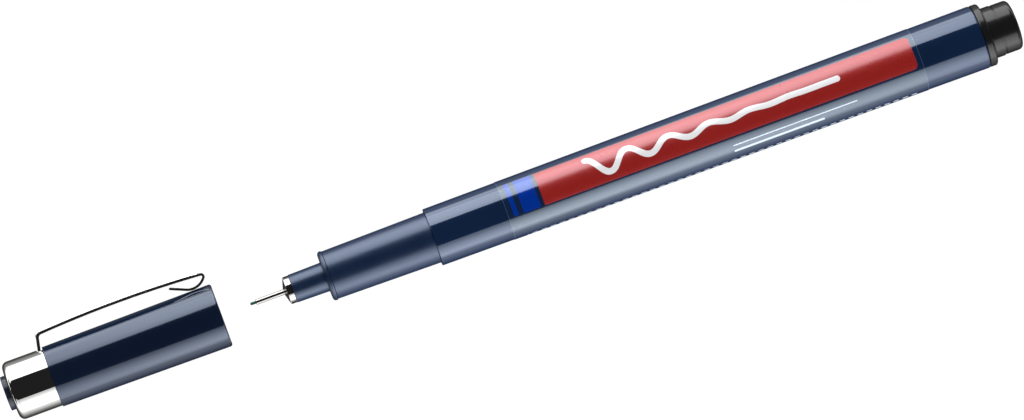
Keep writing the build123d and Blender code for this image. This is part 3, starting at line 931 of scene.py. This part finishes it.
button_rear, stem_front, button_radius = extent("cap_button")
button_corners = [
    (button_rear, 0, 0),
    (button_rear, button_radius, BUTTON_ROUND),
    (button_rear + BUTTON_THICKNESS, button_radius, BUTTON_EDGE),
    (button_rear + BUTTON_THICKNESS, BUTTON_STEM_RADIUS, 0),
    (stem_front, BUTTON_STEM_RADIUS, 0),
    (stem_front, 0, 0),
]
button_disc = turned(button_corners, BUTTON_SIDES)
fit("button_disc", button_disc, button_plastic, "cap", "cap_button")

# Clip: a strip of spring steel, bent to shape, polished and chrome plated, its arm pressed to a low crown.
# Its foot is held in the shell's pocket, behind the ferrule, and its shoe rests on the shell.
STRIP_WIDTH = 3.00
STRIP_THICKNESS = 0.42
STRIP_EDGE = 0.01
STRIP_END = 0.05
CROWN_HEIGHT = 0.36
CROWN_ROUND = 0.08
CROWN_STEP = 0.10
CROWN_RISE = 1.60
CROWN_FALL = 0.60
CLIP_GAP = 0.05
TAIL_LENGTH = 2.85
TAIL_ANGLE = radians(23)
SHOE_RADIUS = 2.80
SHOE_SETBACK = 3.00
TOE_ANGLE = radians(54)
FOLD_RADIUS = 0.40
ARM_BOW = radians(4)
BEND_RADIUS = 0.80
LEG_GAP = 0.30
LEG_LEAN = radians(12)
CORNER_RADIUS = 0.45

half_strip = STRIP_THICKNESS / 2
contact = cap_mouth - SHOE_SETBACK
shell_share = (contact - cap_shoulder) / (cap_mouth - cap_shoulder)
shell_radius = CAP_END_RADIUS + shell_share * (CAP_MOUTH_RADIUS - CAP_END_RADIUS)
shoe_centre = np.array([contact, shell_radius + CLIP_GAP + half_strip + SHOE_RADIUS])
heel = shoe_centre - SHOE_RADIUS * np.array([sin(TAIL_ANGLE), cos(TAIL_ANGLE)])
tail = heel + TAIL_LENGTH * np.array([-cos(TAIL_ANGLE), sin(TAIL_ANGLE)])
fold_centre = shoe_centre + (SHOE_RADIUS - FOLD_RADIUS) * np.array([sin(TOE_ANGLE), -cos(TOE_ANGLE)])
arm_tip = fold_centre + FOLD_RADIUS * np.array([sin(ARM_BOW), cos(ARM_BOW)])
leg = np.array([cap_shoulder - LEG_GAP - half_strip, CAP_END_RADIUS])
leg_rise = (arm_tip[1] - leg[1] + BEND_RADIUS * (sin(LEG_LEAN) - cos(ARM_BOW))) / cos(LEG_LEAN)
arm_end = leg[0] + leg_rise * sin(LEG_LEAN) + BEND_RADIUS * (cos(LEG_LEAN) - sin(ARM_BOW))
arm_radius = (arm_tip[0] - arm_end) / (2 * sin(ARM_BOW))
corner_height = hinge[1] + CORNER_RADIUS * sin(LEG_LEAN)
leg_length = leg_rise + (leg[1] - corner_height) / cos(LEG_LEAN)


def strip_line(start, heading, runs):
    """Middle line of a bent strip: rows of (x, y, heading, length so far).

    Each run is (length, turn to the left, number of points). After a length s of it the heading has
    turned by d = turn * s / length, and the line has come s * sin(d / 2) / (d / 2) along heading + d / 2.
    """
    rows, so_far = [], 0.0
    for length, turn, count in runs:
        s = np.linspace(0, length, count + 1)
        d = turn * s / length
        way = heading + d / 2
        chord = s * np.sinc(d / (2 * pi))
        x, y = start[0] + chord * np.cos(way), start[1] + chord * np.sin(way)
        rows.append(np.stack([x, y, heading + d, so_far + s], axis=1)[:-1])
        start, heading, so_far = (x[-1], y[-1]), heading + turn, so_far + length
    rows.append(np.array([[*start, heading, so_far]]))
    return np.concatenate(rows)


def strip_section(steps=4, slope=16, flat=12):
    """Ring of (across, outward) round the strip's section, its edges rounded.

    Over each face the points stand close on the sloping sides of the crown and wide on its flat top.
    """
    turn = np.linspace(0, pi / 2, steps + 1)
    arc = STRIP_EDGE * np.stack([np.cos(turn), np.sin(turn)], axis=1)
    inner = np.array([STRIP_WIDTH / 2, half_strip]) - STRIP_EDGE
    right = inner + arc
    top = inner[0] - CROWN_HEIGHT - 2 * CROWN_ROUND
    side = np.linspace(inner[0], top, slope + 1)[1:]
    face = np.concatenate([side, np.linspace(top, -top, flat + 1)[1:-1], -side[::-1]])
    face = np.stack([face, np.full(len(face), half_strip)], axis=1)
    left = (right * [-1, 1])[::-1]
    return np.concatenate([right, face, left, -right, -face, -left])


def bent_strip():
    """Points and faces of the clip: its section carried along its middle line.

    Over the arm and the bend the face outside is raised to a flat crown, by a low step at the strip's edge
    and sides at 45 degrees. With d the step and the distance to the edge, the rise is the lesser of d and
    the crown, and near the corner, for g = round + crown - d within 2 round of 0, it is
    crown - g^2 / (4 round). The crown swells and fades smoothly, and at either end the section shrinks by
    a quarter round.
    """
    shoe, fold, bend = SHOE_RADIUS, FOLD_RADIUS, BEND_RADIUS
    turns = TAIL_ANGLE + TOE_ANGLE, pi - TOE_ANGLE - ARM_BOW, 2 * ARM_BOW, pi / 2 - LEG_LEAN - ARM_BOW
    runs = [
        (TAIL_LENGTH, 0.0, 10),
        (shoe * turns[0], turns[0], 32),
        (fold * turns[1], turns[1], 28),
        (arm_radius * turns[2], turns[2], 110),
        (bend * turns[3], turns[3], 24),
        (leg_length, 0.0, 14),
        (CORNER_RADIUS * (pi / 2 + LEG_LEAN), pi / 2 + LEG_LEAN, 16),
        (FOOT_LENGTH, 0.0, 8),
    ]
    line = strip_line(tail, -TAIL_ANGLE, runs)
    length = line[-1, 3]
    arm_from = sum(run[0] for run in runs[:3])
    bend_to = sum(run[0] for run in runs[:5])
    swell = np.clip((line[:, 3] - arm_from) / CROWN_RISE, 0, 1)
    fade = np.clip((bend_to - line[:, 3]) / CROWN_FALL, 0, 1)
    pressed = np.sin(np.minimum(swell, fade) * pi / 2)[:, None] ** 2
    crown, step = CROWN_HEIGHT * pressed, CROWN_STEP * pressed
    section = strip_section()
    to_end = np.clip(np.minimum(line[:, 3], length - line[:, 3]) / STRIP_END, 0, 1)
    shrink = STRIP_END * (1 - np.sqrt(1 - (1 - to_end) ** 2))
    across = section[:, 0] * (1 - shrink / (STRIP_WIDTH / 2))[:, None]
    outward = section[:, 1] * (1 - shrink / half_strip)[:, None]
    inset = np.clip(STRIP_WIDTH / 2 - STRIP_EDGE - np.abs(section[:, 0]), 0, None) * (section[:, 1] > 0)
    climb = inset + step * (inset > 0)
    corner = np.clip(CROWN_ROUND + crown - climb, 0, 2 * CROWN_ROUND)
    outward = outward + np.minimum(climb, crown - corner**2 / (4 * CROWN_ROUND)).clip(0)
    x = line[:, :1] + outward * np.sin(line[:, 2:3])
    y = line[:, 1:2] - outward * np.cos(line[:, 2:3])
    points = np.stack([x, y, across], axis=-1)
    ring = np.arange(points[..., 0].size).reshape(points.shape[:2])
    beside = np.roll(ring, -1, axis=1)
    quads = np.stack([ring[:-1], beside[:-1], beside[1:], ring[1:]], axis=-1).reshape(-1, 4).tolist()
    return points.reshape(-1, 3), quads + [ring[0, ::-1].tolist(), ring[-1].tolist()]


fit("clip_strip", bent_strip(), chrome_plate, "clip", "clip")

# Studio: pale paper under the pen, and a long curved softbox along either side of it for the gloss.
# Between the softboxes it is dark, so that each round part shows two clear bands of light. A low lamp
# behind either softbox lights the colours.
FLOOR_SIZE = 4.0
FLOOR_TONE = (0.15, 0.15, 0.15, 1.0)
FLOOR_GLOW = 0.93
FLOOR_GAP = 0.00002
WHITE = (1.0, 1.0, 1.0, 1.0)
FLOOR_SHADE = (
    (-80, 2.4),
    (-68, 2.2),
    (-58, 1.6),
    (-35, 1.1),
    (-22, 0.8),
    (-13, 0.26),
    (-9, 0.05),
    (9, 0.06),
    (13, 0.3),
    (26, 0.7),
    (32, 2.8),
    (37, 3.3),
)
LIT_FRONT = -1.0, 0.0
LIT_REAR = 5.9, 5.0
LIT_SIDE = 2.4, 3.2
LIT_LEVEL = 1.0
SOFTBOX_REACH = 0.36
SOFTBOX_ENDS = -0.475, 0.32
SOFTBOX_GRID = 23, 33
SOFTBOX_MIDDLE = 0.075
SOFTBOX_FALL = 0.21
LEAST_FALL = 0.5
HORIZON = 90.0
EDGE_LIMITS = -2.0, 12.0
LEFT_EDGE = 43.0, 40.0
LEFT_GLOW = (40, 3.35), (48, 4.0), (62, 4.85), (90, 4.75)
RIGHT_EDGE = 38.5, 0.0
RIGHT_GLOW = (37, 1.45), (50, 2.7), (62, 3.6), (75, 4.15), (90, 3.7)
LEFT_LAG = 0.0
RIGHT_LAG = 6.0
LAG_ENDS = 0.055, 0.11
LAMP_REACH = 1.2
LAMP_ANGLE = radians(75)
LAMP_SIZE = 0.3
LAMP_LEVEL = 1.83
ROOM = 0.02
BACKDROP = 0.95


def sheet(name, points, finish):
    """Puts a grid of points, in metres, on the stage as one sheet."""
    rows, columns = points.shape[:2]
    ring = np.arange(rows * columns).reshape(rows, columns)
    quads = np.stack([ring[:-1, :-1], ring[1:, :-1], ring[1:, 1:], ring[:-1, 1:]], axis=-1).reshape(-1, 4)
    mesh = bpy.data.meshes.new(name)
    mesh.from_pydata(points.reshape(-1, 3).tolist(), [], quads.tolist())
    mesh.shade_smooth()
    mesh.materials.append(finish)
    made = bpy.data.objects.new(name, mesh)
    bpy.context.scene.collection.objects.link(made)
    return made


def levels(tree, value, stops):
    """Socket of a level that runs through these (value, level) stops."""
    low, high = stops[0][0], stops[-1][0]
    top = max(level for _, level in stops)
    shades = add(tree, "ValToRGB", {0: ramp(tree, value, 0.0, 1.0, low, high)})
    elements = shades.color_ramp.elements
    for place, _ in stops[1:-1]:
        elements.new((place - low) / (high - low))
    for element, (_, level) in zip(elements, stops):
        element.color = (*[level / top] * 3, 1.0)
    return math(tree, "MULTIPLY", shades.outputs[0], top)


# The paper's gloss picture has the soft shadow that the pen throws on it. Beside the thin needle it is lit
paper, tree, shader = material(
    "pale paper",
    Base_Color=FLOOR_TONE,
    Roughness=0.9,
    Specular_IOR_Level=0.1,
    Emission_Color=WHITE,
    Emission_Strength=FLOOR_GLOW,
)
spot = add(tree, "SeparateXYZ", {0: here(tree)}).outputs
paper_x, paper_y = math(tree, "DIVIDE", spot[0], MM), math(tree, "DIVIDE", spot[1], MM)
lit = LIT_LEVEL
for place, ends in ((paper_x, LIT_FRONT), (paper_x, LIT_REAR), (math(tree, "ABSOLUTE", paper_y), LIT_SIDE)):
    lit = math(tree, "MULTIPLY", lit, ramp(tree, place, 0.0, 1.0, *ends))
gloss = math(tree, "MAXIMUM", levels(tree, paper_y, FLOOR_SHADE), lit)
shaded = add(tree, "Emission", {"Strength": gloss})
mirrored = add(tree, "LightPath").outputs["Is Glossy Ray"]
both = add(tree, "MixShader", {0: mirrored, 1: shader.outputs[0], 2: shaded.outputs[0]})
tree.links.new(both.outputs[0], tree.nodes["Material Output"].inputs["Surface"])
floor_side = np.array([-FLOOR_SIZE / 2, FLOOR_SIZE / 2])
x, y = np.meshgrid(floor_side, floor_side, indexing="ij")
sheet("paper", np.stack([x, y, np.full_like(x, cad_box[0][2] - FLOOR_GAP)], axis=-1), paper)

# A softbox is the surface (x, reach sin a, reach cos a), with a from its edge to the horizon. It glows by a,
# and less away from its middle. Over the cap and the grip the right one's glow comes a few degrees later
for name, way, edge, stops, lag in (
    ("softbox_left", 1.0, LEFT_EDGE, LEFT_GLOW, LEFT_LAG),
    ("softbox_right", -1.0, RIGHT_EDGE, RIGHT_GLOW, RIGHT_LAG),
):
    softbox, tree, _ = material(name)
    spot = add(tree, "SeparateXYZ", {0: here(tree)}).outputs
    turn = math(tree, "ARCTAN2", math(tree, "ABSOLUTE", spot[1]), spot[2])
    later = ramp(tree, spot[0], lag, 0.0, *LAG_ENDS)
    glow = levels(tree, math(tree, "SUBTRACT", math(tree, "DEGREES", turn), later), stops)
    off_middle = math(tree, "DIVIDE", math(tree, "SUBTRACT", spot[0], SOFTBOX_MIDDLE), SOFTBOX_FALL)
    fall = math(tree, "SUBTRACT", 1.0, math(tree, "POWER", off_middle, 2.0))
    fall = math(tree, "MAXIMUM", fall, LEAST_FALL)
    light = add(tree, "Emission", {"Strength": math(tree, "MULTIPLY", glow, fall)})
    tree.links.new(light.outputs[0], tree.nodes["Material Output"].inputs["Surface"])
    stations = np.linspace(*SOFTBOX_ENDS, SOFTBOX_GRID[0])
    x, share = np.meshgrid(stations, np.linspace(0, 1, SOFTBOX_GRID[1]), indexing="ij")
    start = edge[0] + np.clip(edge[1] * x, *EDGE_LIMITS)
    turn = np.radians(start + share * (HORIZON - start))
    shape = np.stack([x, way * SOFTBOX_REACH * np.sin(turn), SOFTBOX_REACH * np.cos(turn)], axis=-1)
    made = sheet(name, shape, softbox)
    made.visible_camera = False
    made.visible_shadow = False
    made.visible_diffuse = False
    lamp = bpy.data.lights.new(name.replace("softbox", "lamp"), "AREA")
    lamp.size = LAMP_SIZE
    lamp.energy = LAMP_LEVEL * (pi * LAMP_REACH) ** 2
    low_light = bpy.data.objects.new(lamp.name, lamp)
    low_light.location = SOFTBOX_MIDDLE, way * LAMP_REACH * sin(LAMP_ANGLE), LAMP_REACH * cos(LAMP_ANGLE)
    low_light.rotation_euler = -way * LAMP_ANGLE, 0.0, 0.0
    low_light.visible_glossy = False
    low_light.visible_camera = False
    bpy.context.scene.collection.objects.link(low_light)

world = bpy.data.worlds.new("studio")
bpy.context.scene.world = world
world.use_nodes = True
tree = world.node_tree
seen = add(tree, "LightPath").outputs["Is Camera Ray"]
wire(tree, tree.nodes["Background"], Color=WHITE, Strength=ramp(tree, seen, ROOM, BACKDROP))

# Camera: almost straight above the pen, with a long lens, so that the pen's sides hardly draw together.
# It is turned so that the pen rises to the right, and aimed so that the nib falls on its pixel.
IMAGE_WIDTH = 1024
IMAGE_HEIGHT = 420
NIB_PIXEL = 250.3, 304.3
PEN_ANGLE = radians(20.15)
PIXELS_PER_MM = 6.03
CAMERA_ALONG = -5.0
CAMERA_HEIGHT = 969.0
SENSOR_WIDTH = 36.0
CAMERA_NEAR = 0.01

right_by = (IMAGE_WIDTH / 2 - NIB_PIXEL[0]) / PIXELS_PER_MM
down_by = (IMAGE_HEIGHT / 2 - NIB_PIXEL[1]) / PIXELS_PER_MM
aim_along = right_by * cos(PEN_ANGLE) - down_by * sin(PEN_ANGLE)
aim_across = -right_by * sin(PEN_ANGLE) - down_by * cos(PEN_ANGLE)
seat = Vector((CAMERA_ALONG, aim_across, CAMERA_HEIGHT)) * MM
back = (seat - Vector((aim_along, aim_across, 0.0)) * MM).normalized()
level = (Vector((1, 0, 0)) - back * back.x).normalized()
upright = back.cross(level)
to_right = level * cos(PEN_ANGLE) - upright * sin(PEN_ANGLE)
to_top = level * sin(PEN_ANGLE) + upright * cos(PEN_ANGLE)
camera = bpy.data.cameras.new("camera")
camera.sensor_fit, camera.sensor_width = "HORIZONTAL", SENSOR_WIDTH
camera.lens = PIXELS_PER_MM * CAMERA_HEIGHT / IMAGE_WIDTH * SENSOR_WIDTH
camera.clip_start = CAMERA_NEAR
viewer = bpy.data.objects.new("camera", camera)
viewer.matrix_world = Matrix.Translation(seat) @ Matrix((to_right, to_top, back)).transposed().to_4x4()
bpy.context.scene.collection.objects.link(viewer)
bpy.context.scene.camera = viewer
bpy.context.scene.view_settings.view_transform = "Standard"
